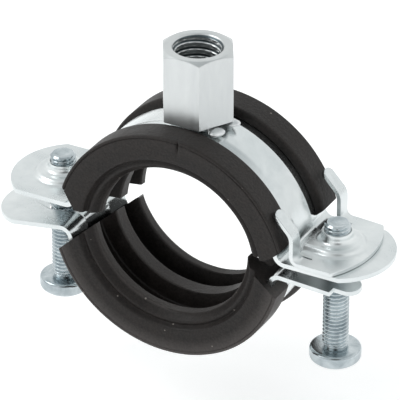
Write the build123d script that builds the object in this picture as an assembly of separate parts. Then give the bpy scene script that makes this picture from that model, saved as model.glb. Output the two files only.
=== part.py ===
from build123d import *
import os
from math import asin, atan2, cos, degrees, radians, sin, sqrt, tan

# Two-screw pipe clamp with rubber linings and a connecting nut for a threaded rod.
# Millimetres. The pipe axis is the Y axis through the origin, the rod stands along +Z, and
# the hooked plate is on the +X side. The part is at rest with its screws loose, closed past
# its nominal size: the two ring centres stand apart from the pipe axis by the spreads below.

# The pipe and the rubber round it
pipe_diameter = 33.7
lip_height = 3.35
lip_crest_width = 1.6
lip_middle = 8.0
lip_inner_run = 1.3
mid_rib_height = 2.35
mid_rib_crest = 2.2
mid_rib_foot = 4.6
base_thickness = 1.45
lining_width = 23.3
lining_gap = 0.05

# The pressed strip
sheet = 0.9
strip_width = 20.0
rib_height = 1.0
rib_top_width = 6.0
rib_foot_width = 9.0
rib_fade = 5.5
hidden_rib_stop = 4.6
hidden_rib_fade = 4.0
bend_radius = 1.6

# The rims that grip the strip's edges
rim_height = 1.95
rim_reach = 4.0
rim_chamfer = 0.25
crease_inset = 0.35
crease_height = 1.4

# Cut ends of the linings in their own ring: side, flat level, corner beyond the floor, slope
upper_lining_ends = [(-1, 3.5, 0.5, 62.0, 8.1), (1, 3.8, 0.1, 43.0, 0)]
lower_lining_ends = [(-1, 1.2, -3.8, 40.6, 8.1), (1, 1.2, -3.8, 40.6, 0)]

# The flanges: where the screws stand and how each pressing leaves the ring
screw_reach = 5.05
upper_flange_level = 2.8
upper_flange_slope = 0.0
lower_flange_level = 3.05
lower_flange_slope = 5.8

# Flange ends: how far each reaches beyond its screw, and the radius of its round end
upper_left_end = (9.75, 12.5)
upper_right_end = (11.1, 11.5)
lower_left_end = (11.6, 10.8)
nose_reach = 8.6
nose_width = 16.4
nose_corner = 2.4
nose_shoulder = 4.4

# How the two halves lie at rest: each ring centre from the pipe axis, and the lower one's tilt
spread_x = 0.575
spread_z = 1.275
seat_share = 0.82
lower_tilt = 3.0

# Screws, size M5
screw_diameter = 5.0
thread_clearance = 0.05
screw_length = 27.0
head_diameter = 10.0
head_height = 3.25
head_side = 2.2
head_flat_diameter = 7.6
tip_chamfer = 0.5
recess_width = 1.1
recess_span = 5.2
recess_depth = 2.3
left_tip_level = 8.0
right_tip_level = 9.3

# Drawn collars that hold the threads, and the clear holes
collar_diameter = 5.9
collar_flare = 1.15
left_collar_top = 6.45
right_collar_top = 7.7
hole_clearance = 0.5
slot_length = 6.8
slot_shift = 1.4

# Raised seats that the collars are drawn from: a round dome that runs on as a channel
seat_height = 1.05
seat_top_radius = 4.4
seat_foot_radius = 6.3

# The hooked plate
plate_clearance = 0.05
plate_width = 21.0
plate_taper = 1.5
plate_turn = -2.4
plate_tongue_reach = 4.3
plate_root_reach = 1.2
root_notch = 0.35
plate_outer_reach = 7.25
plate_end_radius = 19.0
claw_width = 2.8
claw_stand_reach = 4.1
claw_clearance = 0.55
claw_lean = 45.0
claw_length = 5.6
claw_root_bend = 1.6
claw_knee_bend = 2.6
claw_tip_rounding = 1.3

# The connecting nut, across flats 13, threads M10 over M8
nut_across_flats = 13.0
nut_height = 14.2
nut_gap = 1.05
nut_chamfer_angle = 30.0
nut_face_share = 0.975
upper_thread_radius = 4.25
upper_thread_depth = 7.5
lower_thread_radius = 3.4
mouth_radius = 5.3
relief_radius = 3.8
relief_top = 0.7
pilot_radius = 4.6
weld_radius = 1.3
weld_top_radius = 0.6
weld_height = 2.3
weld_sink = 1.95
weld_inset = 0.55

# Worked out from the sizes above
seat_radius = pipe_diameter / 2 - seat_share * sqrt(spread_x**2 + spread_z**2)
floor_radius = pipe_diameter / 2 + lip_height
strip_inner = floor_radius + base_thickness + lining_gap
strip_outer = strip_inner + sheet
rib_radius = strip_outer + rib_height
rim_radius = strip_outer + rim_height
half_strip = strip_width / 2
half_lining = lining_width / 2
screw_offset = rim_radius + screw_reach
plate_root_edge = screw_offset - plate_root_reach
plate_tongue_edge = screw_offset - plate_tongue_reach
plate_outer_edge = screw_offset + plate_outer_reach
claw_stand = screw_offset - claw_stand_reach
hole_radius = screw_diameter / 2 + hole_clearance
bore_radius = screw_diameter / 2 + thread_clearance
flange_top = upper_flange_level + sheet
plate_bottom = flange_top + plate_clearance
plate_top = plate_bottom + sheet
nut_bottom = rib_radius + nut_gap
nut_top = nut_bottom + nut_height
cut_size = 4 * rim_radius


def sheet_section(height, top_width, foot_width):
    # Strip with a raised rib, across Y and outward; the flanks keep the sheet's thickness.
    run = (foot_width - top_width) / 2
    narrowing = sheet * tan(atan2(height, run) / 2)
    half_top = top_width / 2
    half_foot = foot_width / 2
    under = [(half_strip, 0), (half_foot - narrowing, 0), (half_top - narrowing, height)]
    over = [(half_top, sheet + height), (half_foot, sheet), (half_strip, sheet)]
    right_side = over[::-1]
    left_side = [(-y, n) for y, n in over]
    under_left = [(-y, n) for y, n in under]
    points = right_side + left_side + under_left + under[::-1]
    return make_face(Polyline(*points, close=True))


def ribbed_section():
    return sheet_section(rib_height, rib_top_width, rib_foot_width)


def faded_section():
    return sheet_section(0, rib_top_width / 3, rib_foot_width / 3)


def section_plane(x, z, angle):
    # Plane across the strip whose second direction points outward at this angle from X.
    out = Vector(cos(radians(angle)), 0, sin(radians(angle)))
    return Plane(origin=(x, 0, z), x_dir=(0, 1, 0), z_dir=Vector(0, 1, 0).cross(out))


def bend_centre(level, slope):
    # Centre of the bend between ring and flange, in XZ.
    z = level + (bend_radius + sheet) * cos(radians(slope))
    reach = strip_outer + bend_radius
    return sqrt(reach**2 - z**2), z


def tall_prism(outline):
    return Pos(0, 0, -cut_size / 2) * extrude(outline, amount=cut_size)


def round_end(end):
    # Plan outline of a flange on the +X side that ends in an arc across the strip.
    reach, radius = end
    centre = screw_offset + reach - radius
    body = Pos(centre / 2, 0) * Rectangle(centre, strip_width + 2)
    return tall_prism(body + Pos(centre, 0) * Circle(radius))


def nose_end():
    # Plan outline of the forked flange: its slot is open so that the screw can swing out.
    shoulder = screw_offset + nose_shoulder
    tip = screw_offset + nose_reach
    body = Pos(shoulder / 2, 0) * Rectangle(shoulder, strip_width + 2)
    body += Pos(tip / 2, 0) * Rectangle(tip, nose_width)
    slot = Pos(screw_offset, 0) * Circle(hole_radius)
    slot += Pos((screw_offset + cut_size) / 2, 0) * Rectangle(cut_size - screw_offset, 2 * hole_radius)
    fork = body - slot
    return tall_prism(fillet(fork.vertices().group_by(Axis.X)[-1], nose_corner))


def seat_outline(narrowing, level):
    # Half outline of a raised seat: two equal arcs that meet halfway up its flank.
    foot = seat_foot_radius - narrowing
    top = seat_top_radius - narrowing
    run = foot - top
    radius = (run**2 + seat_height**2) / (4 * seat_height)
    sweep = degrees(asin(run / 2 / radius))
    high = level + seat_height
    return make_face(
        [
            Line((0, level), (foot, level)),
            CenterArc((foot, level + radius), radius, 270 - sweep, sweep),
            CenterArc((top, high - radius), radius, 90 - sweep, sweep),
            Line((top, high), (0, high)),
            Line((0, high), (0, level)),
        ]
    )


def dome(narrowing, level, channel):
    # Round raised seat over a screw on the +X side, run on as a channel towards the ring.
    outline = seat_outline(narrowing, level)
    shape = Pos(screw_offset, 0, 0) * revolve(Plane.XZ * outline, Axis.Z)
    if channel == 0:
        return shape
    across = Plane(origin=(screw_offset, 0, 0), x_dir=(0, 1, 0), z_dir=(1, 0, 0))
    half = extrude(across * outline, amount=-channel)
    return shape + half + mirror(half, Plane.XZ)


def seated(blank, bottom, channel):
    # Presses the raised seat of a collar into a flat sheet whose underside is at this level.
    narrowing = sheet * tan(atan2(seat_height, seat_foot_radius - seat_top_radius) / 2)
    return blank + dome(0, bottom + sheet, channel) - dome(narrowing, bottom, channel)


def half_pressing(level, slope, outline, rib_stop, fade):
    # One side of a pressing: ring from the crown down, bend, and flange with its fading rib.
    bend_x, bend_z = bend_centre(level, slope)
    start = degrees(asin(bend_z / (strip_outer + bend_radius)))
    turn = 90 + slope - start
    out = Vector(cos(radians(start)), 0, sin(radians(start)))
    foot = out * strip_inner
    section = section_plane(foot.X, foot.Z, start) * ribbed_section()
    ring = revolve(section, Axis.Y.reverse(), 90 - start)
    bend_axis = Axis((bend_x, 0, bend_z), (0, -1, 0))
    bend = revolve(section, bend_axis, turn)
    normal = Vector(-sin(radians(slope)), 0, cos(radians(slope)))
    along = Vector(cos(radians(slope)), 0, sin(radians(slope)))
    base = Vector(bend_x, 0, bend_z) - normal * (bend_radius + sheet)
    ribbed_length = (screw_offset - rib_stop - base.X) / along.X
    frame = section_plane(base.X, base.Z, 90 + slope)
    ribbed = extrude(frame * ribbed_section(), dir=along, amount=ribbed_length)
    fade_start = base + along * ribbed_length
    fade_end = fade_start + along * fade
    near = section_plane(fade_start.X, fade_start.Z, 90 + slope) * ribbed_section()
    far = section_plane(fade_end.X, fade_end.Z, 90 + slope) * faded_section()
    fading = loft([near, far], ruled=True)
    plain = extrude(far, dir=along, amount=strip_width)
    flange = (ribbed + fading + plain) & outline
    return ring + bend + flange


def collar(foot, top):
    # Drawn collar round a thread: an upright wall that flares into its seat.
    radius = collar_diameter / 2
    bend = foot + collar_flare
    outline = [
        Line((0, foot), (radius + collar_flare, foot)),
        CenterArc((radius + collar_flare, bend), collar_flare, 180, 90),
        Line((radius, bend), (radius, top)),
        Line((radius, top), (0, top)),
        Line((0, top), (0, foot)),
    ]
    return Pos(screw_offset, 0, 0) * revolve(Plane.XZ * make_face(outline), Axis.Z)


def drill(x, radius):
    return Pos(x, 0, 0) * Cylinder(radius, cut_size)


def upper_band():
    # The left flange carries a threaded collar; the right one lies under the hooked plate.
    level, slope = upper_flange_level, upper_flange_slope
    collared = half_pressing(level, slope, round_end(upper_left_end), 0, rib_fade)
    collared = seated(collared, level, 0) + collar(flange_top + seat_height, left_collar_top)
    covered = half_pressing(level, slope, round_end(upper_right_end), hidden_rib_stop, hidden_rib_fade)
    band = covered + mirror(collared, Plane.YZ)
    band -= drill(-screw_offset, bore_radius)
    band -= drill(screw_offset, hole_radius)
    return band


def lower_band():
    level, slope = lower_flange_level, lower_flange_slope
    nosed = half_pressing(level, slope, nose_end(), 0, rib_fade)
    rounded = half_pressing(level, slope, round_end(lower_left_end), 0, rib_fade)
    band = nosed + mirror(rounded, Plane.YZ)
    slot = extrude(SlotOverall(slot_length, 2 * hole_radius), amount=cut_size / 2)
    return band - Pos(slot_shift - screw_offset, 0, 0) * slot


def place_upper(shape):
    return Pos(spread_x, 0, -spread_z) * shape


def place_lower(shape):
    # Turns a half made with its crown up into the lower half at rest.
    flipped = Rot(180, 0, 0) * shape
    return Pos(-spread_x, 0, spread_z) * Rot(0, -lower_tilt, 0) * flipped


def mirrored(points):
    return points + [(-y, r) for y, r in points[::-1]]


def lining_section():
    # Floor, lips, middle rib and the rims that grip the strip, in (Y, radius) about the ring's axis.
    slot_edge = half_strip + lining_gap
    rim_edge = half_strip - rim_reach
    rim_floor = strip_outer + lining_gap
    base_outer = strip_inner - lining_gap
    crease = (half_lining - crease_inset, floor_radius - crease_height)
    crest_in = lip_middle - lip_crest_width / 2
    crest_out = lip_middle + lip_crest_width / 2
    half = [
        (slot_edge, base_outer),
        (slot_edge, rim_floor),
        (rim_edge, rim_floor),
        (rim_edge, rim_radius),
        (half_lining - rim_chamfer, rim_radius),
        (half_lining, rim_radius - rim_chamfer),
        (half_lining, crease[1] + crease_inset),
        crease,
        (crest_out, pipe_diameter / 2),
        (crest_in, pipe_diameter / 2),
        (crest_in - lip_inner_run, floor_radius),
        (mid_rib_foot / 2, floor_radius),
        (mid_rib_crest / 2, floor_radius - mid_rib_height),
    ]
    return make_face(Polyline(*mirrored(half), close=True))


def ring_of(section):
    # Full ring about the Y axis from a section given in (Y, radius).
    return revolve(Plane(origin=(0, 0, 0), x_dir=(0, 1, 0), z_dir=(-1, 0, 0)) * section, Axis.Y, 360)


def end_blades(side, level, corner, slope, skew, pivot):
    # Everything below a cut end: flat out to the corner, then rising with the slope. The first
    # blade leans about one face of the lining; the second keeps the outer part clear of the bend.
    turn = floor_radius + corner
    rise = cut_size * tan(radians(slope))
    outer = [
        (side * turn, level),
        (side * (turn + cut_size), level + rise),
        (side * (turn + cut_size), -cut_size),
    ]
    leaning = make_face(Polyline((0, -cut_size), (0, level), *outer, close=True))
    upright = make_face(Polyline((side * turn, -cut_size), *outer, close=True))
    about = Pos(0, pivot, level) * Rot(-skew, 0, 0) * Pos(0, -pivot, -level)
    return (
        about * extrude(Plane.XZ * leaning, amount=cut_size, both=True),
        extrude(Plane.XZ * upright, amount=cut_size, both=True),
    )


def lining(place, ends, pivot):
    # Rubber of one half; its lips are bored where they meet the pipe.
    rubber = place(ring_of(lining_section())) - Rot(90, 0, 0) * Cylinder(seat_radius, cut_size)
    for end in ends:
        for blade in end_blades(*end, pivot):
            rubber -= place(blade)
    return rubber


def upper_lining():
    return lining(place_upper, upper_lining_ends, -half_lining)


def lower_lining():
    return lining(place_lower, lower_lining_ends, half_lining)


def screw(tip_level):
    # Pan-head screw, head down, tip at the given level.
    head_radius = head_diameter / 2
    shank_radius = screw_diameter / 2
    bearing = tip_level - screw_length
    bottom = bearing - head_height
    outline = [
        (0, tip_level),
        (shank_radius - tip_chamfer, tip_level),
        (shank_radius, tip_level - tip_chamfer),
        (shank_radius, bearing),
        (head_radius, bearing),
        (head_radius, bearing - head_side),
        (head_flat_diameter / 2, bottom),
        (0, bottom),
    ]
    body = revolve(Plane.XZ * make_face(Polyline(*outline, close=True)), Axis.Z)
    arm = Box(recess_span, recess_width, recess_depth, align=(Align.CENTER, Align.CENTER, Align.MIN))
    cross = arm + Rot(0, 0, 90) * arm
    return body - Pos(0, 0, bottom) * cross


def left_screw():
    return Pos(-screw_offset, 0, 0) * screw(left_tip_level)


def right_screw():
    return Pos(screw_offset, 0, 0) * screw(right_tip_level)


def claw(side):
    # One hook: up from the plate, then leaning in until its tip's inner corner clears the rim.
    middle = plate_bottom + sheet / 2
    lean = radians(claw_lean)
    tip_x = claw_stand - claw_length * sin(lean)
    corner_x = tip_x - sheet / 2 * cos(lean)
    corner_z = sqrt((rim_radius + claw_clearance) ** 2 - corner_x**2)
    tip_z = corner_z + sheet / 2 * sin(lean)
    knee = (claw_stand, tip_z - claw_length * cos(lean))
    root = (plate_root_edge, middle)
    corners = [root, (claw_stand, middle), knee, (tip_x, tip_z)]
    y = side * (plate_width - claw_width) / 2
    path = FilletPolyline(*[(cx, y, cz) for cx, cz in corners], radius=[claw_root_bend, claw_knee_bend])
    start = Plane(origin=(root[0], y, middle), x_dir=(0, 1, 0), z_dir=(-1, 0, 0))
    hook = sweep(start * Rectangle(claw_width, sheet), path=path)
    top_corners = hook.edges().filter_by(lambda e: abs(e.length - sheet) < 0.01).sort_by(Axis.Z)[-2:]
    return fillet(top_corners, claw_tip_rounding)


def half_plate_width(x):
    return plate_width / 2 - (x - plate_root_edge) * tan(radians(plate_taper))


def claw_plate():
    # Tapered plate with a round outer end, a tongue between the claws and a raised seat.
    root_half = half_plate_width(plate_root_edge)
    outer_half = half_plate_width(plate_outer_edge)
    corners = [(plate_root_edge, root_half), (plate_outer_edge, outer_half)]
    corners += [(x, -y) for x, y in corners[::-1]]
    blank = make_face(Polyline(*corners, close=True))
    blank = blank & Pos(plate_outer_edge - plate_end_radius, 0) * Circle(plate_end_radius)
    tongue = plate_root_edge - plate_tongue_edge
    tongue_width = plate_width - 2 * (claw_width + root_notch)
    blank += Pos(plate_tongue_edge + tongue / 2, 0) * Rectangle(tongue, tongue_width)
    plate = Pos(0, 0, plate_bottom) * extrude(blank, amount=sheet)
    plate = seated(plate, plate_bottom, plate_tongue_reach)
    beyond = Box(cut_size, cut_size, cut_size, align=(Align.MIN, Align.CENTER, Align.CENTER))
    plate &= Pos(plate_tongue_edge, 0, 0) * beyond
    plate += collar(plate_top + seat_height, right_collar_top)
    plate -= drill(screw_offset, bore_radius)
    return turned_about_screw(plate + claw(1) + claw(-1))


def turned_about_screw(shape):
    # The loose plate rests turned a little about its own screw.
    return Pos(screw_offset, 0, 0) * Rot(0, 0, plate_turn) * Pos(-screw_offset, 0, 0) * shape


def connecting_nut():
    corner_radius = nut_across_flats / sqrt(3)
    body = Pos(0, 0, nut_bottom) * extrude(RegularPolygon(corner_radius, 6), amount=nut_height)
    face_radius = nut_face_share * nut_across_flats / 2
    drop = cut_size * tan(radians(nut_chamfer_angle))
    cap = Pos(0, 0, nut_top - drop) * Cone(
        face_radius + cut_size, face_radius, drop, align=(Align.CENTER, Align.CENTER, Align.MIN)
    )
    body = body & cap
    pilot = Cylinder(pilot_radius, nut_gap + 1, align=(Align.CENTER, Align.CENTER, Align.MIN))
    body += Pos(0, 0, rib_radius - 1) * pilot
    body -= Rot(90, 0, 0) * Cylinder(rib_radius, cut_size)
    mouth_depth = mouth_radius - upper_thread_radius
    mouth = Cone(
        upper_thread_radius, mouth_radius, mouth_depth, align=(Align.CENTER, Align.CENTER, Align.MAX)
    )
    upper_bore = Cylinder(
        upper_thread_radius, upper_thread_depth, align=(Align.CENTER, Align.CENTER, Align.MAX)
    )
    lower_bore = Cylinder(lower_thread_radius, cut_size / 2, align=(Align.CENTER, Align.CENTER, Align.MAX))
    relief = Cylinder(relief_radius, rib_radius + relief_top, align=(Align.CENTER, Align.CENTER, Align.MIN))
    return body - Pos(0, 0, nut_top) * (mouth + upper_bore + lower_bore) - relief


def nut_weld():
    # Nuggets of weld metal that run into both the nut's corners and the band.
    corner = nut_across_flats / sqrt(3) - weld_inset
    nugget = Cone(weld_radius, weld_top_radius, weld_height, align=(Align.CENTER, Align.CENTER, Align.MIN))
    nuggets = []
    for angle in (-30, 30, 150):
        x = corner * cos(radians(angle))
        y = corner * sin(radians(angle))
        nuggets.append(Pos(x, y, nut_bottom - weld_sink) * nugget)
    return Compound(children=nuggets)


def main():
    nodes = {
        "upper_band": place_upper(upper_band()),
        "connecting_nut": place_upper(connecting_nut()),
        "nut_weld": place_upper(nut_weld()),
        "upper_lining": upper_lining(),
        "lower_band": place_lower(lower_band()),
        "lower_lining": lower_lining(),
        "left_screw": place_upper(left_screw()),
        "right_screw": place_upper(right_screw()),
        "claw_plate": place_upper(claw_plate()),
    }
    os.makedirs("parts", exist_ok=True)
    for name, shape in nodes.items():
        export_step(shape, os.path.join("parts", name + ".step"))


main()
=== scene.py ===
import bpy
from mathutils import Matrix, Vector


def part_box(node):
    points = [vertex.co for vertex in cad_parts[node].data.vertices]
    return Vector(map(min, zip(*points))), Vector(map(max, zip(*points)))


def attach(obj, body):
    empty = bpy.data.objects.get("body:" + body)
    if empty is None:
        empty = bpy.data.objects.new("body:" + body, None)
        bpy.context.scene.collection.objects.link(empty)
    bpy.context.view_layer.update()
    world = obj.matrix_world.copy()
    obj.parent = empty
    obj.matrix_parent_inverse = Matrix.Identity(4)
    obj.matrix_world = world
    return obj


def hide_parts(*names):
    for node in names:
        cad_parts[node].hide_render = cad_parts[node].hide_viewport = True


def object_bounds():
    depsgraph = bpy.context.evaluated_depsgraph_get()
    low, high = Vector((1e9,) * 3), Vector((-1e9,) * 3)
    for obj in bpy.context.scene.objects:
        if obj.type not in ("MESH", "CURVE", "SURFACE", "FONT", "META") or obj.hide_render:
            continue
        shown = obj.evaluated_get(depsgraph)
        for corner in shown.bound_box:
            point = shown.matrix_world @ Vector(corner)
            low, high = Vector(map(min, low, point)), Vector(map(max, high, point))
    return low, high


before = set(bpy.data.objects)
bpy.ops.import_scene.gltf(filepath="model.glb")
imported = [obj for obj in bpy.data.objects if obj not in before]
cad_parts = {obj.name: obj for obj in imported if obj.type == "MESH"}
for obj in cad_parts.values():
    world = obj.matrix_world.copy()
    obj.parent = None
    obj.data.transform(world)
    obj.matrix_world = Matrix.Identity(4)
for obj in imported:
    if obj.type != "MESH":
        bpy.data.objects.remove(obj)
cadBounds = [[float(value) for value in corner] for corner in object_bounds()]

import math
import bpy
import bmesh
import numpy as np
from mathutils import Matrix, Vector

# Two-screw pipe clamp with rubber linings and a connecting nut. Shapes are worked out in
# millimetres in the frame's own axes and become metres when a mesh is made. Distances in the
# materials and in the studio are in metres, apart from the camera's.

fullTurn = 2 * math.pi
toMetres = 0.001
toMillimetres = 1000.0

clampRing = {
    "upperCentre": (0.575, -1.275),   # each ring's centre from the pipe's axis, in X and Z
    "lowerCentre": (-0.575, 1.275),
    "lowerTilt": 3.0,                 # degrees about the pipe's axis
    "rimRadius": 24.55,
}


def linked(name, data):
    # An object at the origin that holds this mesh, lamp or camera.
    made = bpy.data.objects.new(name, data)
    bpy.context.scene.collection.objects.link(made)
    return made


def newMesh(name, points, faces):
    # A mesh from points in millimetres.
    mesh = bpy.data.meshes.new(name)
    mesh.from_pydata((np.asarray(points) * toMetres).tolist(), [], faces)
    mesh.update()
    return mesh


def outwards(piece):
    # Points every face away from the closed mesh's inside.
    shell = bmesh.new()
    shell.from_mesh(piece.data)
    bmesh.ops.recalc_face_normals(shell, faces=shell.faces)
    shell.to_mesh(piece.data)
    shell.free()


def standsFor(piece, body, replaced):
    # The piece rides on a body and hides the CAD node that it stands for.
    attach(piece, body)
    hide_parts(replaced)


def meshPiece(name, points, faces, body, replaced, material, sharpAngle):
    # A smooth closed mesh, sharp where its faces turn by more than the angle in degrees.
    piece = linked(name, newMesh(name, points, faces))
    piece.data.shade_smooth()
    piece.data.set_sharp_from_angle(angle=math.radians(sharpAngle))
    standsFor(piece, body, replaced)
    outwards(piece)
    piece.data.materials.append(material)


def tubeFaces(rows, columns):
    # Quads between neighbouring rows of a grid stored row by row, all the way round.
    row, column = np.meshgrid(np.arange(rows - 1), np.arange(columns), indexing="ij")
    following = (column + 1) % columns
    corners = [row * columns + column, row * columns + following,
               (row + 1) * columns + following, (row + 1) * columns + column]
    return np.stack(corners, axis=-1).reshape(-1, 4).tolist()


def capFaces(rows, columns):
    # One flat face over the grid's first row and one over its last.
    first = np.arange(columns)
    return [first[::-1].tolist(), (first + (rows - 1) * columns).tolist()]


def roundedLine(corners, radii, steps, closed=False):
    # A line through corners in a plane, each turned by an arc that touches both its sides.
    corners = np.asarray(corners, float)
    count = len(corners)
    pieces = []
    for index, radius in enumerate(radii):
        here = corners[index]
        if radius == 0 or (not closed and index in (0, count - 1)):
            pieces.append(here[None])
            continue
        back = corners[index - 1] - here
        ahead = corners[(index + 1) % count] - here
        back /= np.linalg.norm(back)
        ahead /= np.linalg.norm(ahead)
        half = math.acos(float(np.clip(back @ ahead, -1, 1))) / 2
        middle = (back + ahead) / np.linalg.norm(back + ahead)
        centre = here + middle * radius / math.sin(half)
        start = here + back * radius / math.tan(half) - centre
        end = here + ahead * radius / math.tan(half) - centre
        sweep = math.atan2(start[0] * end[1] - start[1] * end[0], float(start @ end))
        turn = sweep * np.linspace(0, 1, steps + 1)[:, None]
        side = np.array([-start[1], start[0]])
        pieces.append(centre + start * np.cos(turn) + side * np.sin(turn))
    return np.vstack(pieces)


def densify(line, longest, closed=False):
    # Adds points so that no step along the line is longer than this.
    line = np.asarray(line, float)
    ends = np.roll(line, -1, axis=0) if closed else line[1:]
    starts = line if closed else line[:-1]
    parts = []
    for start, end in zip(starts, ends):
        steps = max(1, int(math.ceil(np.linalg.norm(end - start) / longest)))
        parts.append(start + (end - start) * (np.arange(steps) / steps)[:, None])
    if not closed:
        parts.append(line[-1:])
    return np.vstack(parts)


def turned(profile, angles):
    # Revolves a profile of radius and height about Z: x = radius cos, y = radius sin.
    radius, height = profile[:, 0][:, None], profile[:, 1][:, None]
    return np.stack([radius * np.cos(angles), radius * np.sin(angles),
                     height + 0 * angles], axis=-1).reshape(-1, 3)


unevenLine = {
    "terms": 5,
    "rateSpread": (0.8, 1.25),   # each term's rate is its number times a draw from here
    "fall": 0.6,                 # how fast the later terms weaken
    "peak": 2.2,                 # about the largest sum
}


def waves(x, seed):
    # A smooth uneven line between about -1 and 1: a sum of sines at rising rates.
    form = unevenLine
    source = np.random.default_rng(seed)
    total = 0 * x
    for term in range(form["terms"]):
        rate = (1 + term) * source.uniform(*form["rateSpread"])
        total = total + np.sin(x * rate + source.uniform(0, fullTurn)) / (1 + form["fall"] * term)
    return total / form["peak"]


def node(tree, kind, **settings):
    # A new node of this kind with these properties.
    made = tree.nodes.new(kind)
    for key, value in settings.items():
        setattr(made, key, value)
    return made


def noiseNode(tree, vector, scale, detail, roughness, distortion=0.0):
    # Fractal noise read at these coordinates.
    made = node(tree, "ShaderNodeTexNoise")
    made.inputs["Scale"].default_value = scale
    made.inputs["Detail"].default_value = detail
    made.inputs["Roughness"].default_value = roughness
    made.inputs["Distortion"].default_value = distortion
    tree.links.new(vector, made.inputs["Vector"])
    return made


def mapRange(tree, source, low, high, toLow, toHigh):
    # Stretches low..high to toLow..toHigh in a straight line, and holds the ends beyond.
    made = node(tree, "ShaderNodeMapRange")
    made.inputs["From Min"].default_value = low
    made.inputs["From Max"].default_value = high
    made.inputs["To Min"].default_value = toLow
    made.inputs["To Max"].default_value = toHigh
    tree.links.new(source, made.inputs["Value"])
    return made.outputs["Result"]


def mathNode(tree, operation, *values):
    # One operation on numbers or on other nodes' outputs.
    made = node(tree, "ShaderNodeMath", operation=operation)
    for socket, value in zip(made.inputs, values):
        if isinstance(value, (int, float)):
            socket.default_value = value
        else:
            tree.links.new(value, socket)
    return made.outputs[0]


def mixTones(tree, share, first, second):
    # The first colour where the share is 0 and the second where it is 1.
    made = node(tree, "ShaderNodeMix", data_type="RGBA")
    tree.links.new(share, made.inputs["Factor"])
    for letter, tone in (("A", first), ("B", second)):
        if isinstance(tone, tuple):
            made.inputs[letter].default_value = (*tone, 1)
        else:
            tree.links.new(tone, made.inputs[letter])
    return made.outputs["Result"]


def reliefNormal(tree, height, strength, depth):
    # The surface's normal tipped by a height pattern this deep, in metres.
    made = node(tree, "ShaderNodeBump")
    made.inputs["Strength"].default_value = strength
    made.inputs["Distance"].default_value = depth
    tree.links.new(height, made.inputs["Height"])
    return made.outputs["Normal"]


def newMaterial(name):
    # A material with one Principled shader, and the object's own coordinates for its patterns.
    material = bpy.data.materials.new(name)
    material.use_nodes = True
    tree = material.node_tree
    tree.nodes.clear()
    shader = node(tree, "ShaderNodeBsdfPrincipled")
    output = node(tree, "ShaderNodeOutputMaterial")
    tree.links.new(shader.outputs["BSDF"], output.inputs["Surface"])
    place = node(tree, "ShaderNodeTexCoord")
    return material, tree, shader, place.outputs["Object"]


def effectGroup(name, inputs, outputs):
    # An empty node group with named inputs (name, kind, value) and outputs (name, kind).
    group = bpy.data.node_groups.new(name, "ShaderNodeTree")
    for label, kind, value in inputs:
        socket = group.interface.new_socket(label, in_out="INPUT", socket_type=kind)
        if value is not None:
            socket.default_value = value
    for label, kind in outputs:
        group.interface.new_socket(label, in_out="OUTPUT", socket_type=kind)
    return group, group.nodes.new("NodeGroupInput"), group.nodes.new("NodeGroupOutput")


def placedGroup(tree, group, vector, **values):
    # A group placed in a material at these coordinates, with the material's own values.
    made = node(tree, "ShaderNodeGroup", node_tree=group)
    tree.links.new(vector, made.inputs["Vector"])
    for label, value in values.items():
        made.inputs[label].default_value = value
    return made


def makeAxisDistance():
    # Distance from an axis: the way from a point on the axis, with the part along the axis
    # multiplied away by Across, which is 1 in the two other directions; then its length.
    group, given, result = effectGroup(
        "axisDistance",
        [("Vector", "NodeSocketVector", None), ("Centre", "NodeSocketVector", (0, 0, 0)),
         ("Across", "NodeSocketVector", (1, 1, 1))],
        [("Distance", "NodeSocketFloat")])
    away = node(group, "ShaderNodeVectorMath", operation="SUBTRACT")
    group.links.new(given.outputs["Vector"], away.inputs[0])
    group.links.new(given.outputs["Centre"], away.inputs[1])
    flat = node(group, "ShaderNodeVectorMath", operation="MULTIPLY")
    group.links.new(away.outputs["Vector"], flat.inputs[0])
    group.links.new(given.outputs["Across"], flat.inputs[1])
    length = node(group, "ShaderNodeVectorMath", operation="LENGTH")
    group.links.new(flat.outputs["Vector"], length.inputs[0])
    group.links.new(length.outputs["Value"], result.inputs["Distance"])
    return group


zincFinish = {
    "cloudSpan": (0.3, 0.7),     # noise at the dark end and at the light end
    "grainSpan": (0.25, 0.75),
    "cloudShare": 0.6,           # of the roughness; the rest follows the grain
    "reliefDepth": 0.00004,
}


def makeZincBloom():
    # Clouded grey tone and fine rolled grain of bright zinc plate.
    group, given, result = effectGroup(
        "zincBloom",
        [("Vector", "NodeSocketVector", None), ("Cloud", "NodeSocketFloat", 150.0),
         ("Grain", "NodeSocketFloat", 1800.0)],
        [("Cloud", "NodeSocketFloat"), ("Grain", "NodeSocketFloat")])
    cloud = noiseNode(group, given.outputs["Vector"], 1.0, detail=4.0, roughness=0.6, distortion=0.4)
    grain = noiseNode(group, given.outputs["Vector"], 1.0, detail=2.0, roughness=0.7)
    for label, noise, span in (("Cloud", cloud, "cloudSpan"), ("Grain", grain, "grainSpan")):
        group.links.new(given.outputs[label], noise.inputs["Scale"])
        spread = mapRange(group, noise.outputs["Fac"], *zincFinish[span], 0.0, 1.0)
        group.links.new(spread, result.inputs[label])
    return group


def shadedThread(tree, place, tone, settings):
    # Painted shade in the thread valleys: a dark band between two distances from the nut's own axis.
    inner, outer = settings["threadShadeBand"]
    edge = settings["boreEdge"]
    centre = (clampRing["upperCentre"][0] * toMetres, 0, 0)
    reach = placedGroup(tree, axisDistance, place, Centre=centre, Across=(1, 1, 0)).outputs["Distance"]
    valley = mathNode(tree, "MULTIPLY", mapRange(tree, reach, inner, inner + edge, 0.0, 1.0),
                      mapRange(tree, reach, outer - edge, outer, 1.0, 0.0))
    return mixTones(tree, valley, tone, settings["threadShadeTone"])


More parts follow.
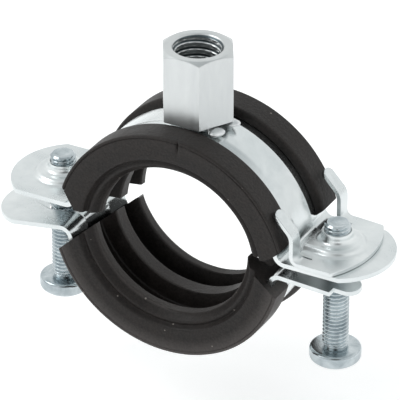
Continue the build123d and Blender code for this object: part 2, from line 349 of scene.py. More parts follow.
def satinFlanges(tree, place, gloss, settings):
    # The flat flanges are duller than the drawn ring: rougher at some distance from the middle.
    parts = node(tree, "ShaderNodeSeparateXYZ")
    tree.links.new(place, parts.inputs["Vector"])
    beyond = mathNode(tree, "ABSOLUTE", parts.outputs["X"])
    extra = mapRange(tree, beyond, *settings["satinBand"], 0.0, settings["satinGain"])
    return mathNode(tree, "ADD", gloss, extra)


def makeZincSteel(name, settings):
    # Zinc plate: metal whose tone, gloss and fine relief vary in clouds and grain.
    material, tree, shader, place = newMaterial(name)
    stretch = node(tree, "ShaderNodeMapping")
    stretch.inputs["Scale"].default_value = settings["stretch"]
    tree.links.new(place, stretch.inputs["Vector"])
    bloom = placedGroup(tree, zincBloom, stretch.outputs["Vector"],
                        Cloud=settings["cloudScale"], Grain=settings["grainScale"])
    tone = mixTones(tree, bloom.outputs["Cloud"], settings["darkTone"], settings["lightTone"])
    if "threadShadeBand" in settings:
        # Painted shade in the thread valleys.
        tone = shadedThread(tree, place, tone, settings)
    tree.links.new(tone, shader.inputs["Base Color"])
    share = zincFinish["cloudShare"]
    mixed = mathNode(tree, "ADD", mathNode(tree, "MULTIPLY", bloom.outputs["Cloud"], share),
                     mathNode(tree, "MULTIPLY", bloom.outputs["Grain"], 1 - share))
    gloss = mapRange(tree, mixed, 0.0, 1.0, *settings["roughness"])
    if "satinBand" in settings:
        gloss = satinFlanges(tree, place, gloss, settings)
    tree.links.new(gloss, shader.inputs["Roughness"])
    shader.inputs["Metallic"].default_value = 1.0
    relief = reliefNormal(tree, bloom.outputs["Grain"], settings["relief"], zincFinish["reliefDepth"])
    tree.links.new(relief, shader.inputs["Normal"])
    return material


axisDistance = makeAxisDistance()
zincBloom = makeZincBloom()

sheetZinc = makeZincSteel("sheetZinc", {
    "stretch": (1.0, 1.0, 1.0), "cloudScale": 95.0, "grainScale": 2600.0,
    "darkTone": (0.60, 0.64, 0.65), "lightTone": (0.80, 0.83, 0.83),
    "roughness": (0.15, 0.28), "relief": 0.05,
    "satinBand": (0.023, 0.027),     # metres from the middle: as the ring, fully duller
    "satinGain": 0.08})
nutZinc = makeZincSteel("nutZinc", {
    "stretch": (1.0, 1.0, 0.25), "cloudScale": 220.0, "grainScale": 2200.0,
    "darkTone": (0.57, 0.59, 0.595), "lightTone": (0.66, 0.68, 0.68),
    "roughness": (0.26, 0.40), "relief": 0.35,
    "threadShadeBand": (0.0044, 0.00482),   # metres from the nut's axis, where the painted shade lies
    "boreEdge": 0.0001,
    # dark colour painted into the thread valleys as shade
    "threadShadeTone": (0.08, 0.10, 0.11)})
screwZinc = makeZincSteel("screwZinc", {
    "stretch": (1.0, 1.0, 1.0), "cloudScale": 260.0, "grainScale": 2600.0,
    "darkTone": (0.34, 0.39, 0.415), "lightTone": (0.62, 0.67, 0.69),
    "roughness": (0.12, 0.24), "relief": 0.12})
weldZinc = makeZincSteel("weldZinc", {
    "stretch": (1.0, 1.0, 1.0), "cloudScale": 500.0, "grainScale": 3000.0,
    "darkTone": (0.66, 0.68, 0.69), "lightTone": (0.84, 0.86, 0.86),
    "roughness": (0.28, 0.46), "relief": 0.4})

rubberSkin = {
    "darkTone": (0.006, 0.0048, 0.0043), "lightTone": (0.026, 0.021, 0.019),
    "cloudScale": 190.0, "grainScale": 2400.0,
    "cloudShare": 0.5,               # of the mottle; the rest is grain
    "mottleSpan": (0.36, 0.68),      # cloud and grain together: dark tone, light tone
    "speckTone": (0.22, 0.20, 0.18), "speckScale": 260.0,
    "speckEdge": (0.035, 0.06),      # distance from a speck's middle: full, none
    # pale colour painted on the rims and crests as light
    "paleLightTone": (0.10, 0.09, 0.086),
    "rimLightBand": (0.0214, 0.0246),     # metres from the ring's axis: no painted rim light, full painted rim light
    "crestHighlightBand": (0.0166, 0.0169),   # full painted highlight, none
    # strength of the painted highlight along the lip crests
    "crestHighlightShare": 0.5,
    "upperRimLight": 0.08,            # painted light on each half's outer rim, much stronger on the lower half, whose face looks up
    "lowerRimLight": 0.9,
    "lightBreaks": (0.3, 0.6, 0.6, 1.0),   # cloud and grain from, to; share of the painted light from, to
    "roughness": (0.38, 0.60), "roughSpan": (0.3, 0.7),
    "specular": 0.26,
    "skinScale": 1500.0, "relief": 0.8, "reliefDepth": 0.00012,
}


def makeRubberBloom(settings):
    # Clouded black with specks and a pebbled skin, with painted light: a pale highlight along the lip
    # crests near the pipe and, as far as the rim input says, pale painted light on the outer rim. Reach
    # is the distance from the axis.
    group, given, result = effectGroup(
        "rubberBloom",
        [("Vector", "NodeSocketVector", None), ("Reach", "NodeSocketFloat", 0.0),
         ("Rim Light Share", "NodeSocketFloat", 0.5)],
        [("Cloud", "NodeSocketFloat"), ("Mottle", "NodeSocketFloat"), ("Specks", "NodeSocketFloat"),
         ("Patchy Light", "NodeSocketFloat"), ("Skin", "NodeSocketFloat")])
    place, reach = given.outputs["Vector"], given.outputs["Reach"]
    cloud = noiseNode(group, place, settings["cloudScale"], detail=7.0, roughness=0.74).outputs["Fac"]
    grain = noiseNode(group, place, settings["grainScale"], detail=2.0, roughness=0.6).outputs["Fac"]
    skin = noiseNode(group, place, settings["skinScale"], detail=3.0, roughness=0.6).outputs["Fac"]
    share = settings["cloudShare"]
    mixed = mathNode(group, "ADD", mathNode(group, "MULTIPLY", cloud, share),
                     mathNode(group, "MULTIPLY", grain, 1 - share))
    specks = node(group, "ShaderNodeTexVoronoi")
    specks.inputs["Scale"].default_value = settings["speckScale"]
    group.links.new(place, specks.inputs["Vector"])
    # Painted light: a pale band on the outer rim and a pale highlight along the crests, broken up by the
    # cloud and grain.
    paintedRimLight = mathNode(group, "MULTIPLY", mapRange(group, reach, *settings["rimLightBand"], 0.0, 1.0),
                       given.outputs["Rim Light Share"])
    paintedCrestHighlight = mapRange(group, reach, *settings["crestHighlightBand"], settings["crestHighlightShare"], 0.0)
    patchyLight = mathNode(group, "MULTIPLY", mathNode(group, "ADD", paintedRimLight, paintedCrestHighlight),
                    mapRange(group, mixed, *settings["lightBreaks"]))
    effects = {
        "Cloud": cloud,
        "Mottle": mapRange(group, mixed, *settings["mottleSpan"], 0.0, 1.0),
        "Specks": mapRange(group, specks.outputs["Distance"], *settings["speckEdge"], 1.0, 0.0),
        "Patchy Light": patchyLight,
        "Skin": skin,
    }
    for label, effect in effects.items():
        group.links.new(effect, result.inputs[label])
    return group


def makeRubber(name, settings, centre, rimLight):
    # Extruded rubber: matt black-brown, with pale painted light on the crests and rim, then specked, over
    # a fine pebbled skin.
    material, tree, shader, place = newMaterial(name)
    middle = (centre[0] * toMetres, 0, centre[1] * toMetres)
    reach = placedGroup(tree, axisDistance, place, Centre=middle, Across=(1, 0, 1))
    bloom = placedGroup(tree, rubberBloom, place)
    bloom.inputs["Rim Light Share"].default_value = rimLight
    tree.links.new(reach.outputs["Distance"], bloom.inputs["Reach"])
    tone = mixTones(tree, bloom.outputs["Mottle"], settings["darkTone"], settings["lightTone"])
    # Pale painted light laid over the rubber's own tone.
    tone = mixTones(tree, bloom.outputs["Patchy Light"], tone, settings["paleLightTone"])
    tone = mixTones(tree, bloom.outputs["Specks"], tone, settings["speckTone"])
    tree.links.new(tone, shader.inputs["Base Color"])
    gloss = mapRange(tree, bloom.outputs["Cloud"], *settings["roughSpan"], *settings["roughness"])
    tree.links.new(gloss, shader.inputs["Roughness"])
    shader.inputs["Specular IOR Level"].default_value = settings["specular"]
    relief = reliefNormal(tree, bloom.outputs["Skin"], settings["relief"], settings["reliefDepth"])
    tree.links.new(relief, shader.inputs["Normal"])
    return material


rubberBloom = makeRubberBloom(rubberSkin)
# The lower half's rim gets far more painted light than the upper's.
upperSkin = makeRubber("upperSkin", rubberSkin, clampRing["upperCentre"], rubberSkin["upperRimLight"])
lowerSkin = makeRubber("lowerSkin", rubberSkin, clampRing["lowerCentre"], rubberSkin["lowerRimLight"])
print("materials made")


pressedSteel = {
    "edgeRounding": 0.14,       # mm, the rolled edge that the die leaves
    "edgeSteps": 2,
    "sharpAngle": 50.0,         # degrees, edges that turn more are rolled
    "flatWithin": 0.6,          # degrees, faces that turn less become one
    "mergeWithin": 0.000002,    # metres
    "flatWeight": 100,          # how far the large faces steer the shading
}


def steelFromNode(cadName, name, body):
    # A merged copy of a CAD node with its sharp edges rounded.
    shell = bmesh.new()
    shell.from_mesh(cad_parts[cadName].data)
    bmesh.ops.remove_doubles(shell, verts=shell.verts, dist=pressedSteel["mergeWithin"])
    bmesh.ops.dissolve_limit(shell, angle_limit=math.radians(pressedSteel["flatWithin"]),
                             verts=shell.verts, edges=shell.edges)
    mesh = bpy.data.meshes.new(name)
    shell.to_mesh(mesh)
    shell.free()
    piece = linked(name, mesh)
    mesh.materials.append(sheetZinc)
    mesh.shade_smooth()
    bevel = piece.modifiers.new("rolledEdges", "BEVEL")
    bevel.width = pressedSteel["edgeRounding"] * toMetres
    bevel.segments = pressedSteel["edgeSteps"]
    bevel.limit_method = "ANGLE"
    bevel.angle_limit = math.radians(pressedSteel["sharpAngle"])
    bevel.use_clamp_overlap = True
    weighted = piece.modifiers.new("flatFaces", "WEIGHTED_NORMAL")
    weighted.weight = pressedSteel["flatWeight"]
    weighted.keep_sharp = True
    standsFor(piece, body, cadName)


steelFromNode("upper_band", "upperBand", "upper_half")
steelFromNode("lower_band", "lowerBand", "lower_half")
steelFromNode("claw_plate", "hookPlate", "hooked_plate")
print("pressed steel made")


rubberProfile = {
    "halfWidth": 11.65,
    "rimFloor": 22.65,       # where the rim's hook rests on the strip's outer face
    "rimReach": 6.0,         # the hook's edge, from the middle
    "slotEdge": 10.05,       # the strip's edge sits here
    "baseOuter": 21.35,
    "floor": 20.2,
    # the groove under the rim's corner: inset from the side, drop below the rim, rounding
    "groove": [(0.03, 0.42, 0.08), (0.26, 0.6, 0.04), (0.06, 0.82, 0.1)],
    "faceFoot": (11.3, 19.35),   # the side face leans in from the rim's corner to here
    "notch": (10.2, 18.8),       # deepest point between the side face and the lip
    "lipShoulder": (10.7, 17.95),
    "lipCrest": (8.8, 7.2),      # outer and inner edge of the lip's crest, from the middle
    "crestRadius": 16.45,
    "lipFoot": 6.0,
    "midCrest": 1.5,             # half widths of the middle rib
    "midFoot": 2.2,
    "midZone": (3.0, 20.3),      # the rib's own points: within this half width and radius
    "midShift": 0.4,             # the middle rib stands this far behind the middle
    "boreRadius": 15.3,          # no rubber comes nearer the pipe's axis
    "cornerSteps": 4,
    "longestStep": 0.5,
    "stepsAlong": 300,
    "unevenDepth": 0.03,         # slow swelling of the extrusion, and how fast it comes and goes
    "unevenRate": 3.0,
    "swayShare": 0.0015,         # slow narrowing, as a share of the width
    "swayRate": 2.0,
    "heldFrom": 21.0,            # radius from which the strip holds the rubber within its edges
    "heldSlack": 0.01,
    "endPasses": 6,              # times that the ends are worked out, as they depend on themselves
    "outerFrom": 22.0,           # radius from which a surface looks away from the pipe
    "frontFace": -9.5,           # dents lie in front of here
}

upperRubber = {
    "name": "upperLining", "body": "upper_half", "replaced": "upper_lining", "skin": upperSkin,
    "centre": clampRing["upperCentre"], "tilt": 0.0, "flipped": False, "seed": 3,
    "left": (3.5, 20.7, 62.0, 8.1),     # cut end: flat level, corner, slope and lean in degrees
    "right": (3.8, 20.3, 43.0, 0.0),
    "pivot": -rubberProfile["halfWidth"],
    # dents of the front face: angle, radius, depth, width along the ring, width across it;
    # a negative depth stands out
    "dents": [(85.6, 23.6, 0.55, 0.22, 1.6), (84.3, 23.9, -0.16, 0.45, 1.2),
              (78.6, 23.6, -0.12, 0.7, 0.5)],
}
lowerRubber = {
    "name": "lowerLining", "body": "lower_half", "replaced": "lower_lining", "skin": lowerSkin,
    "centre": clampRing["lowerCentre"], "tilt": clampRing["lowerTilt"], "flipped": True, "seed": 11,
    "left": (1.2, 16.4, 40.6, 8.1),
    "right": (1.2, 16.4, 40.6, 0.0),
    "pivot": rubberProfile["halfWidth"],
    "dents": [],
}


def rubberOutline():
    # Closed outline of the lining in (Y, radius): rims, a groove under each rim's corner, a notch
    # between side face and lip, two lips and a middle rib. Each corner has its rounding beside it.
    shape = rubberProfile
    width, rim = shape["halfWidth"], clampRing["rimRadius"]
    half = [
        ((shape["slotEdge"], shape["baseOuter"]), 0.0),
        ((shape["slotEdge"], shape["rimFloor"]), 0.0),
        ((shape["rimReach"], shape["rimFloor"]), 0.15),
        ((shape["rimReach"], rim), 0.45),
        ((width, rim), 0.3),
    ]
    half += [((width - inset, rim - drop), rounding) for inset, drop, rounding in shape["groove"]]
    half += [
        (shape["faceFoot"], 0.5),
        (shape["notch"], 0.12),
        (shape["lipShoulder"], 0.5),
        ((shape["lipCrest"][0], shape["crestRadius"]), 0.5),
        ((shape["lipCrest"][1], shape["crestRadius"]), 0.3),
        ((shape["lipFoot"], shape["floor"]), 0.5),
        ((shape["midFoot"], shape["floor"]), 0.5),
        ((shape["midCrest"], shape["crestRadius"]), 0.22),
    ]
    whole = half + [((-y, r), rounding) for (y, r), rounding in half[::-1]]
    corners = [corner for corner, rounding in whole]
    radii = [rounding for corner, rounding in whole]
    line = roundedLine(corners, radii, shape["cornerSteps"], closed=True)
    return densify(line, shape["longestStep"], closed=True)


def slantedAngle(radius, level, corner, slope):
    # The angle at which a circle meets a plane that rises outward from the corner.
    lean = math.radians(slope)
    reach = level * math.cos(lean) - corner * math.sin(lean)
    return lean + np.arcsin(np.clip(reach / radius, -1, 1))


def endAngle(radius, y, cut, pivot):
    # The angle from the flange side at which a circle of this radius meets the cut end.
    level, corner, slope, skew = cut
    lowered = level - math.tan(math.radians(skew)) * (y - pivot)
    flat = np.arcsin(np.clip(lowered / radius, -1, 1))
    leaning = slantedAngle(radius, lowered, corner, slope)
    upright = slantedAngle(radius, level, corner, slope)
    return np.where(radius * np.cos(flat) <= corner, flat, np.maximum(leaning, upright))


def makeLining(settings):
    # The outline carried round the ring; lips and rib stop short where the pipe's bore comes.
    shape = rubberProfile
    outline = rubberOutline()
    y, radius = outline[:, 0], outline[:, 1]
    centre = np.array(settings["centre"])
    tilt = math.radians(settings["tilt"])
    facing = -1 if settings["flipped"] else 1
    # the bore's centre seen from the ring's own centre, in the ring's own turned axes
    awayX, awayZ = -centre
    boreX = awayX * math.cos(tilt) + awayZ * math.sin(tilt)
    boreZ = facing * (-awayX * math.sin(tilt) + awayZ * math.cos(tilt))

    def radiusAt(angle):
        along = boreX * np.cos(angle) + boreZ * np.sin(angle)
        bored = along + np.sqrt(along**2 - boreX**2 - boreZ**2 + shape["boreRadius"]**2)
        return np.maximum(radius, bored)

    right = endAngle(radius, y, settings["right"], settings["pivot"])
    left = math.pi - endAngle(radius, y, settings["left"], settings["pivot"])
    for repeat in range(shape["endPasses"]):   # a lip's end depends on its own radius there
        right = endAngle(radiusAt(right), y, settings["right"], settings["pivot"])
        left = math.pi - endAngle(radiusAt(left), y, settings["left"], settings["pivot"])
    travel = np.linspace(0, 1, shape["stepsAlong"])[:, None]
    angle = right + (left - right) * travel
    distance = radiusAt(angle)
    # slow unevenness of the extrusion, none where the rubber is held by the strip
    held = (np.abs(y) < shape["slotEdge"] + shape["heldSlack"]) & (radius > shape["heldFrom"])
    swelling = np.abs(waves(angle * shape["unevenRate"], settings["seed"]))
    uneven = shape["unevenDepth"] * swelling * np.where(held, 0.0, 1.0)
    distance = distance - uneven * np.where(radius > shape["outerFrom"], 1, -1)
    sway = 1 + waves(angle * shape["swayRate"], settings["seed"] + 1)
    across = y * (1 - shape["swayShare"] * sway)
    for degreesAt, dentRadius, depth, along, wide in settings["dents"]:
        arc = (angle - math.radians(degreesAt)) * radius
        fall = np.exp(-(arc / along) ** 2 - ((radius - dentRadius) / wide) ** 2)
        across = across + depth * fall * (y < shape["frontFace"])
    across = np.clip(across, -shape["halfWidth"], shape["halfWidth"])
    midWidth, midTop = shape["midZone"]
    middle = (np.abs(y) < midWidth) & (radius < midTop)
    across = across * facing + np.where(middle, shape["midShift"], 0.0)
    x = distance * np.cos(angle)
    z = distance * np.sin(angle) * facing
    worldX = centre[0] + x * math.cos(tilt) - z * math.sin(tilt)
    worldZ = centre[1] + x * math.sin(tilt) + z * math.cos(tilt)
    points = np.stack([worldX, across, worldZ], axis=-1).reshape(-1, 3)
    rows, columns = shape["stepsAlong"], len(y)
    faces = tubeFaces(rows, columns) + capFaces(rows, columns)
    meshPiece(settings["name"], points, faces, settings["body"],
              settings["replaced"], settings["skin"], sharpAngle=50.0)


makeLining(upperRubber)
makeLining(lowerRubber)
print("rubber linings made")


threadForm = {
    "reach": 0.40,   # share of the pitch from the crest's middle to the flank's foot
    "flank": 0.30,   # share of the pitch that a flank takes
}


def threadHeight(turns):
    # Share of full thread height at this many turns: flat crest, straight flanks, flat root.
    away = np.abs(turns - np.floor(turns) - 0.5)
    return np.clip((threadForm["reach"] - away) / threadForm["flank"], 0, 1)


machineScrew = {
    "majorRadius": 2.5,
    "threadDepth": 0.47,
    "pitch": 0.8,
    "length": 27.0,
    "neck": 0.25,               # plain shank under the head
    "runOut": 0.4,              # the thread fades over this length
    "rootRun": 0.6,             # the shank goes on into the head
    "tipChamfer": 0.45,
    "tipSlope": 1.1,
    # the tip's shallow dish: radius, height from the tip
    "tipDish": [(1.9, 0.0), (1.6, -0.02), (1.1, -0.14), (0.5, -0.2), (0.02, -0.21)],
    "poleRadius": 0.02,
    "shankAround": 72,
    "rowsPerPitch": 14,
    "headRadius": 5.0,
    "headHeight": 3.25,
    "headSide": 2.3,
    "headFlat": 3.8,
    "headRoundings": [0, 0.7, 1.0, 0.8, 0],
    "headSteps": 6,
    "headLongest": 0.5,
    "headAround": 96,
    "recessHalf": 2.6,
    "recessWidth": 0.95,
    "recessDepth": 2.2,
    "recessClear": 0.5,         # the cutter starts this far outside the head
    "recessMouth": 1.06,        # the cross at its mouth and at its floor, as shares of its size
    "recessFloor": 0.62,
    "leftTurn": 0.1,            # how far each screw is turned, in turns
    "rightTurn": 0.55,
    "sharpAngle": 38,
}


def looseMesh(name, points, faces):
    # A mesh object from points in millimetres, not yet part of the clamp.
    piece = linked(name, newMesh(name, points, faces))
    outwards(piece)
    return piece


def crossCutter(bottom):
    # A tapered cross that widens towards the head's face, in points and faces.
    size = machineScrew
    half, width, depth = size["recessHalf"], size["recessWidth"] / 2, size["recessDepth"]
    outline = np.array([(width, width), (half, width), (half, -width), (width, -width),
                        (width, -half), (-width, -half), (-width, -width), (-half, -width),
                        (-half, width), (-width, width), (-width, half), (width, half)])[::-1]
    count = len(outline)
    mouth = np.column_stack([outline * size["recessMouth"], np.full(count, bottom - size["recessClear"])])
    floor = np.column_stack([outline * size["recessFloor"], np.full(count, bottom + depth)])
    return np.vstack([mouth, floor]), tubeFaces(2, count) + capFaces(2, count)


def cutAway(piece, cutter):
    # Takes the cutter's shape out of the piece and keeps the result as a plain mesh.
    carve = piece.modifiers.new("carve", "BOOLEAN")
    carve.operation = "DIFFERENCE"
    carve.object = cutter
    carve.solver = "EXACT"
    bpy.context.view_layer.update()
    done = bpy.data.meshes.new_from_object(piece.evaluated_get(bpy.context.evaluated_depsgraph_get()))
    piece.modifiers.clear()
    piece.data = done
    bpy.data.objects.remove(cutter)
    return piece


def joined(name, parts):
    # One object holding the meshes of several.
    shell = bmesh.new()
    for part in parts:
        shell.from_mesh(part.data)
    mesh = bpy.data.meshes.new(name)
    shell.to_mesh(mesh)
    shell.free()
    for part in parts:
        bpy.data.objects.remove(part)
    return linked(name, mesh)


def makeHead(name, bearing):
    # The pan head: a rounded profile of radius and height revolved about Z, less the cross.
    size = machineScrew
    pole, edge = size["poleRadius"], size["headRadius"]
    bottom = bearing - size["headHeight"]
    corners = [(pole, bearing), (edge, bearing), (edge, bearing - size["headSide"]),
               (size["headFlat"], bottom), (pole, bottom)]
    profile = densify(roundedLine(corners, size["headRoundings"], size["headSteps"]), size["headLongest"])
    rows, columns = len(profile), size["headAround"]
    angles = np.arange(columns) / columns * fullTurn
    head = looseMesh(name + "Head", turned(profile, angles),
                     tubeFaces(rows, columns) + capFaces(rows, columns))
    return cutAway(head, looseMesh(name + "Recess", *crossCutter(bottom)))


def makeShank(name, tip, bearing, turn):
    # The shank on a grid of angle and height: its radius is the crest's less the thread's depth
    # at that many turns, and no more than the tip's chamfer; a dish closes the tip.
    size = machineScrew
    columns, root = size["shankAround"], size["rootRun"]
    angles = np.arange(columns) / columns * fullTurn
    count = int((size["length"] + root) / size["pitch"] * size["rowsPerPitch"])
    heights = np.linspace(tip, bearing - root, count)
    fromTip = (tip - heights)[:, None]
    turns = heights[:, None] / size["pitch"] - angles / fullTurn + turn
    fade = np.clip((size["length"] - size["neck"] - fromTip) / size["runOut"], 0, 1)
    radius = size["majorRadius"] - size["threadDepth"] * (1 - threadHeight(turns) * fade)
    chamfer = size["majorRadius"] - size["tipChamfer"] + fromTip * size["tipSlope"]
    radius = np.minimum(radius, chamfer)
    shank = np.stack([radius * np.cos(angles), radius * np.sin(angles),
                      heights[:, None] + 0 * angles], axis=-1).reshape(-1, 3)
    dish = np.array(size["tipDish"])
    dish[:, 1] += tip
    cap = turned(dish[::-1], angles)
    foot = turned(np.array([(size["poleRadius"], bearing - root)]), angles)
    rows = len(dish) + len(heights) + 1
    return looseMesh(name + "Shank", np.vstack([cap, shank, foot]),
                     tubeFaces(rows, columns) + capFaces(rows, columns))


def makeScrew(name, cadName, body, turn):
    # Shank and head on the CAD screw's axis, with the tip at the CAD screw's tip.
    low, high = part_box(cadName)
    centreX = toMillimetres / 2 * (low.x + high.x)
    tip = toMillimetres * high.z
    bearing = tip - machineScrew["length"]
    head = makeHead(name, bearing)
    whole = joined(name, [makeShank(name, tip, bearing, turn), head])
    whole.data.transform(Matrix.Translation((centreX * toMetres, 0, 0)))
    whole.data.materials.append(screwZinc)
    whole.data.shade_smooth()
    whole.data.set_sharp_from_angle(angle=math.radians(machineScrew["sharpAngle"]))
    standsFor(whole, body, cadName)


makeScrew("leftScrew", "left_screw", "left_screw", machineScrew["leftTurn"])
makeScrew("rightScrew", "right_screw", "right_screw", machineScrew["rightTurn"])
print("screws made")


couplingNut = {
    "acrossFlats": 13.0,
    "height": 14.2,
    "faceRadius": 6.34,
    "faceInset": 0.1,         # where the flat top face starts, within the chamfer
    "chamferSlope": 30.0,
    "edgeRounding": 0.12,
    "edgeDown": 0.6,          # shares of the rounding down the flat and into the chamfer
    "edgeIn": 0.5,
    "footInset": 0.5,
    "mouthRadius": 5.0,
    "mouthRim": 0.12,
    "mouthSlope": 0.9,        # radius lost for each millimetre of depth
    "coreRadius": 4.25,
    "threadDepth": 0.72,
    "pitch": 1.5,
    "threadStart": 0.06,
    "threadLength": 7.5,
    "threadRows": 90,
    "threadEnd": 0.3,         # the step down to the lower bore
    "lowerRadius": 3.4,
    "footBevel": (0.4, 0.3, 0.8),   # widening of the lower bore, and the heights where it lies
    "perSide": 24,
    "flatRows": 12,
    "flatSpan": (0.04, 0.96),       # shares of the flat and of the chamfer that rows cover
    "chamferRows": 5,
    "chamferSpan": (0.15, 0.9),
}


def makeNut():
    # A wall carried round the nut: out over the hexagon, over the chamfer and down the thread.
    # The hexagon's radius is half the width across flats over the cosine from the flat's middle.
    size = couplingNut
    low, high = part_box("connecting_nut")
    centreX = toMillimetres / 2 * (low.x + high.x)
    top = toMillimetres * high.z
    bottom = top - size["height"]
    columns = 6 * size["perSide"]
    angles = np.arange(columns) / columns * fullTurn
    fromFlat = np.mod(angles, fullTurn / 6) - fullTurn / 12
    hexagon = size["acrossFlats"] / 2 / np.cos(fromFlat)
    face, rounding = size["faceRadius"], size["edgeRounding"]
    slope = math.tan(math.radians(size["chamferSlope"]))
    shoulder = top - np.clip(hexagon - face, 0, None) * slope
    widening, bevelLow, bevelHigh = size["footBevel"]
    rows = []

    def ring(radius, height):
        rows.append(np.stack([radius * np.cos(angles), radius * np.sin(angles), height + 0 * angles], -1))

    ring(size["lowerRadius"] + widening, bottom)
    ring(hexagon - size["footInset"], bottom)
    ring(hexagon - rounding, bottom)
    ring(hexagon, bottom + rounding)
    for share in np.linspace(*size["flatSpan"], size["flatRows"]):
        ring(hexagon, bottom + rounding + (shoulder - 2 * rounding - bottom) * share)
    ring(hexagon, shoulder - rounding * size["edgeDown"])
    ring(hexagon - rounding * size["edgeIn"], shoulder + rounding * slope * size["edgeIn"])
    for share in np.linspace(*size["chamferSpan"], size["chamferRows"]):
        ring(hexagon + (face - hexagon) * share, shoulder + (top - shoulder) * share)
    ring(face - size["faceInset"], top)
    ring(size["mouthRadius"] + size["mouthRim"], top)
    for depth in np.linspace(size["threadStart"], size["threadLength"], size["threadRows"]):
        turns = -depth / size["pitch"] - angles / fullTurn
        bore = size["coreRadius"] + size["threadDepth"] * (1 - threadHeight(turns))
        cone = size["mouthRadius"] - depth * size["mouthSlope"]
        ring(np.maximum(bore, cone), top - depth)
    ring(size["lowerRadius"], top - size["threadLength"] - size["threadEnd"])
    ring(size["lowerRadius"], bottom + bevelHigh)
    ring(size["lowerRadius"] + widening, bottom + bevelLow)
    points = np.array(rows).reshape(-1, 3) + (centreX, 0, 0)
    last = (len(rows) - 1) * columns
    closing = [[last + k, last + (k + 1) % columns, (k + 1) % columns, k] for k in range(columns)]
    meshPiece("connectingNut", points, tubeFaces(len(rows), columns) + closing, "upper_half",
              "connecting_nut", nutZinc, sharpAngle=24.0)


makeNut()
print("connecting nut made")


weldNuggets = {
    "flatness": 0.42,
    # each lump's place, then its radius
    "lumps": [(6.2, -3.5, 22.45, 1.75), (7.4, 1.2, 22.5, 1.35), (-6.2, 3.4, 21.9, 1.5)],
    "swell": (0.10, 0.07),    # depth of the waves round the lump and from pole to pole
    "waves": (3, 2),          # and their numbers
    "rows": 26,
    "columns": 40,
    "poleAngle": 0.02,
}


def makeWeld():
    # Three lumps: each a flattened sphere whose radius swells and sinks along a few slow waves.
    size = weldNuggets
    rows, columns = size["rows"], size["columns"]
    (aroundDepth, poleDepth), (aroundWaves, poleWaves) = size["swell"], size["waves"]
    polar = np.linspace(size["poleAngle"], math.pi - size["poleAngle"], rows)[:, None]
    around = (np.arange(columns) / columns * fullTurn)[None]
    points, faces = [], []
    for index, (*place, lumpRadius) in enumerate(size["lumps"]):
        aroundSwell = aroundDepth * np.sin(aroundWaves * around + index) * np.sin(polar)
        poleSwell = poleDepth * np.cos(poleWaves * polar + index)
        radius = lumpRadius * (1 + aroundSwell + poleSwell)
        lump = np.stack([radius * np.sin(polar) * np.cos(around), radius * np.sin(polar) * np.sin(around),
                         size["flatness"] * radius * np.cos(polar) + 0 * around], -1).reshape(-1, 3)
        points.append(lump + place)
        offset = index * rows * columns
        own = tubeFaces(rows, columns) + capFaces(rows, columns)
        faces += [[offset + corner for corner in face] for face in own]
    meshPiece("nutWeld", np.vstack(points), faces, "upper_half", "nut_weld",
              weldZinc, sharpAngle=60.0)


makeWeld()
print("weld made")


studio = {
    "azimuth": 28.63,
    "elevation": 30.60,
    "distance": 769.2,      # mm
    "lens": 363.9,
    "sensor": 36.0,
    "nearest": 0.01,        # metres, nothing nearer is drawn
    "aim": (0.352, 4.934),  # mm to the right and up from the upper ring's centre
    "floorReach": 3.0,
    "floorDrop": 0.0135,    # metres, further than the lower half can travel
    "floorTone": 0.86,
    "floorGlow": 0.40,
    "worldStrength": 1.0,
    "levelSky": (0.95, 0.96, 0.96),
    "risingSky": (0.62, (0.97, 0.99, 0.99)),   # how far up, and its colour there
    "topSky": (0.56, 0.59, 0.60),
    "dimPatch": (28.0, 32.0),   # azimuth and elevation of the dim patch's middle
    "dimEdge": (0.90, 0.985),   # cosine from the patch's middle: lit, fully dim
    "dimLeft": 0.12,            # light that the dim patch keeps
    "lampPlace": (-0.85, -0.46, 0.95),
    "lampSize": 0.7,
    "lampPower": 4.0,
}


def makeFloor():
    # A wide pale floor below all that the joints can reach, which shows white behind the clamp.
    reach = studio["floorReach"]
    height = cadBounds[0][2] - studio["floorDrop"]
    mesh = bpy.data.meshes.new("floor")
    mesh.from_pydata([(-reach, -reach, height), (reach, -reach, height), (reach, reach, height),
                      (-reach, reach, height)], [], [(0, 1, 2, 3)])
    floor = linked("floor", mesh)
    material = bpy.data.materials.new("paleFloor")
    material.use_nodes = True
    tree = material.node_tree
    tree.nodes.clear()
    tone = studio["floorTone"]
    base = node(tree, "ShaderNodeBsdfDiffuse")
    base.inputs["Color"].default_value = (tone, tone, tone, 1)
    glow = node(tree, "ShaderNodeEmission")
    glow.inputs["Strength"].default_value = studio["floorGlow"]
    both = node(tree, "ShaderNodeAddShader")
    tree.links.new(base.outputs[0], both.inputs[0])
    tree.links.new(glow.outputs[0], both.inputs[1])
    path = node(tree, "ShaderNodeLightPath")
    seen = mathNode(tree, "MAXIMUM", path.outputs["Is Camera Ray"],
                    mathNode(tree, "MAXIMUM", path.outputs["Is Glossy Ray"],
                             path.outputs["Is Transmission Ray"]))
    pick = node(tree, "ShaderNodeMixShader")
    tree.links.new(seen, pick.inputs[0])
    tree.links.new(base.outputs[0], pick.inputs[1])
    tree.links.new(both.outputs[0], pick.inputs[2])
    output = node(tree, "ShaderNodeOutputMaterial")
    tree.links.new(pick.outputs[0], output.inputs["Surface"])
    mesh.materials.append(material)


def backwards(azimuth, elevation):
    # The direction from the clamp towards this azimuth and elevation, in radians.
    return Vector((math.sin(azimuth) * math.cos(elevation), -math.cos(azimuth) * math.cos(elevation),
                   math.sin(elevation)))


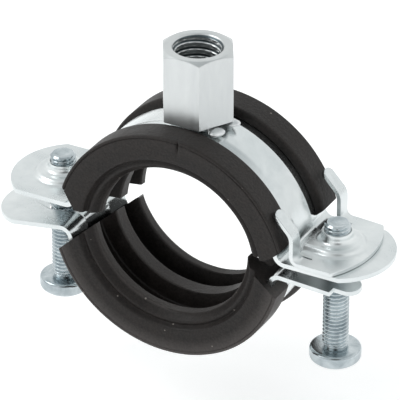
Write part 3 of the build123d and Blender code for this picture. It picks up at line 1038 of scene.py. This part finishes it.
def makeWorld():
    # Bright surroundings that turn grey straight overhead, with a dim patch in one direction.
    world = bpy.data.worlds.new("studioWorld")
    bpy.context.scene.world = world
    world.use_nodes = True
    tree = world.node_tree
    tree.nodes.clear()
    place = node(tree, "ShaderNodeTexCoord")
    parts = node(tree, "ShaderNodeSeparateXYZ")
    tree.links.new(place.outputs["Generated"], parts.inputs["Vector"])
    ramp = node(tree, "ShaderNodeValToRGB")
    stops = ramp.color_ramp.elements
    stops[0].color = (*studio["levelSky"], 1)
    stops[1].color = (*studio["topSky"], 1)
    height, tone = studio["risingSky"]
    stops.new(height).color = (*tone, 1)
    tree.links.new(parts.outputs["Z"], ramp.inputs["Fac"])
    across = node(tree, "ShaderNodeVectorMath", operation="DOT_PRODUCT")
    across.inputs[1].default_value = backwards(*(math.radians(angle) for angle in studio["dimPatch"]))
    tree.links.new(place.outputs["Generated"], across.inputs[0])
    shade = mapRange(tree, across.outputs["Value"], *studio["dimEdge"], 1.0, studio["dimLeft"])
    light = node(tree, "ShaderNodeBackground")
    tree.links.new(mathNode(tree, "MULTIPLY", shade, studio["worldStrength"]), light.inputs["Strength"])
    tree.links.new(ramp.outputs["Color"], light.inputs["Color"])
    output = node(tree, "ShaderNodeOutputWorld")
    tree.links.new(light.outputs[0], output.inputs["Surface"])


def makeLamp():
    # One soft square lamp that faces the origin.
    lamp = bpy.data.lights.new("sideLamp", "AREA")
    lamp.shape = "RECTANGLE"
    lamp.size = lamp.size_y = studio["lampSize"]
    lamp.energy = studio["lampPower"]
    holder = linked("sideLamp", lamp)
    holder.location = studio["lampPlace"]
    holder.rotation_euler = (-Vector(studio["lampPlace"])).to_track_quat("-Z", "Y").to_euler()


def makeCamera():
    # The camera stands back along its azimuth and elevation from the upper ring's centre.
    azimuth, elevation = math.radians(studio["azimuth"]), math.radians(studio["elevation"])
    back = backwards(azimuth, elevation)
    right = Vector((math.cos(azimuth), math.sin(azimuth), 0))
    up = back.cross(right)
    centre = Vector((clampRing["upperCentre"][0], 0, clampRing["upperCentre"][1])) * toMetres
    aim = centre + (right * studio["aim"][0] + up * studio["aim"][1]) * toMetres
    data = bpy.data.cameras.new("studioCamera")
    data.lens = studio["lens"]
    data.sensor_width = studio["sensor"]
    data.clip_start = studio["nearest"]
    camera = linked("studioCamera", data)
    camera.location = centre + back * studio["distance"] * toMetres
    camera.rotation_euler = (aim - camera.location).to_track_quat("-Z", "Y").to_euler()
    bpy.context.scene.camera = camera


makeFloor()
makeWorld()
makeLamp()
makeCamera()
bpy.context.scene.view_settings.view_transform = "Standard"
print("stage, light and camera made")
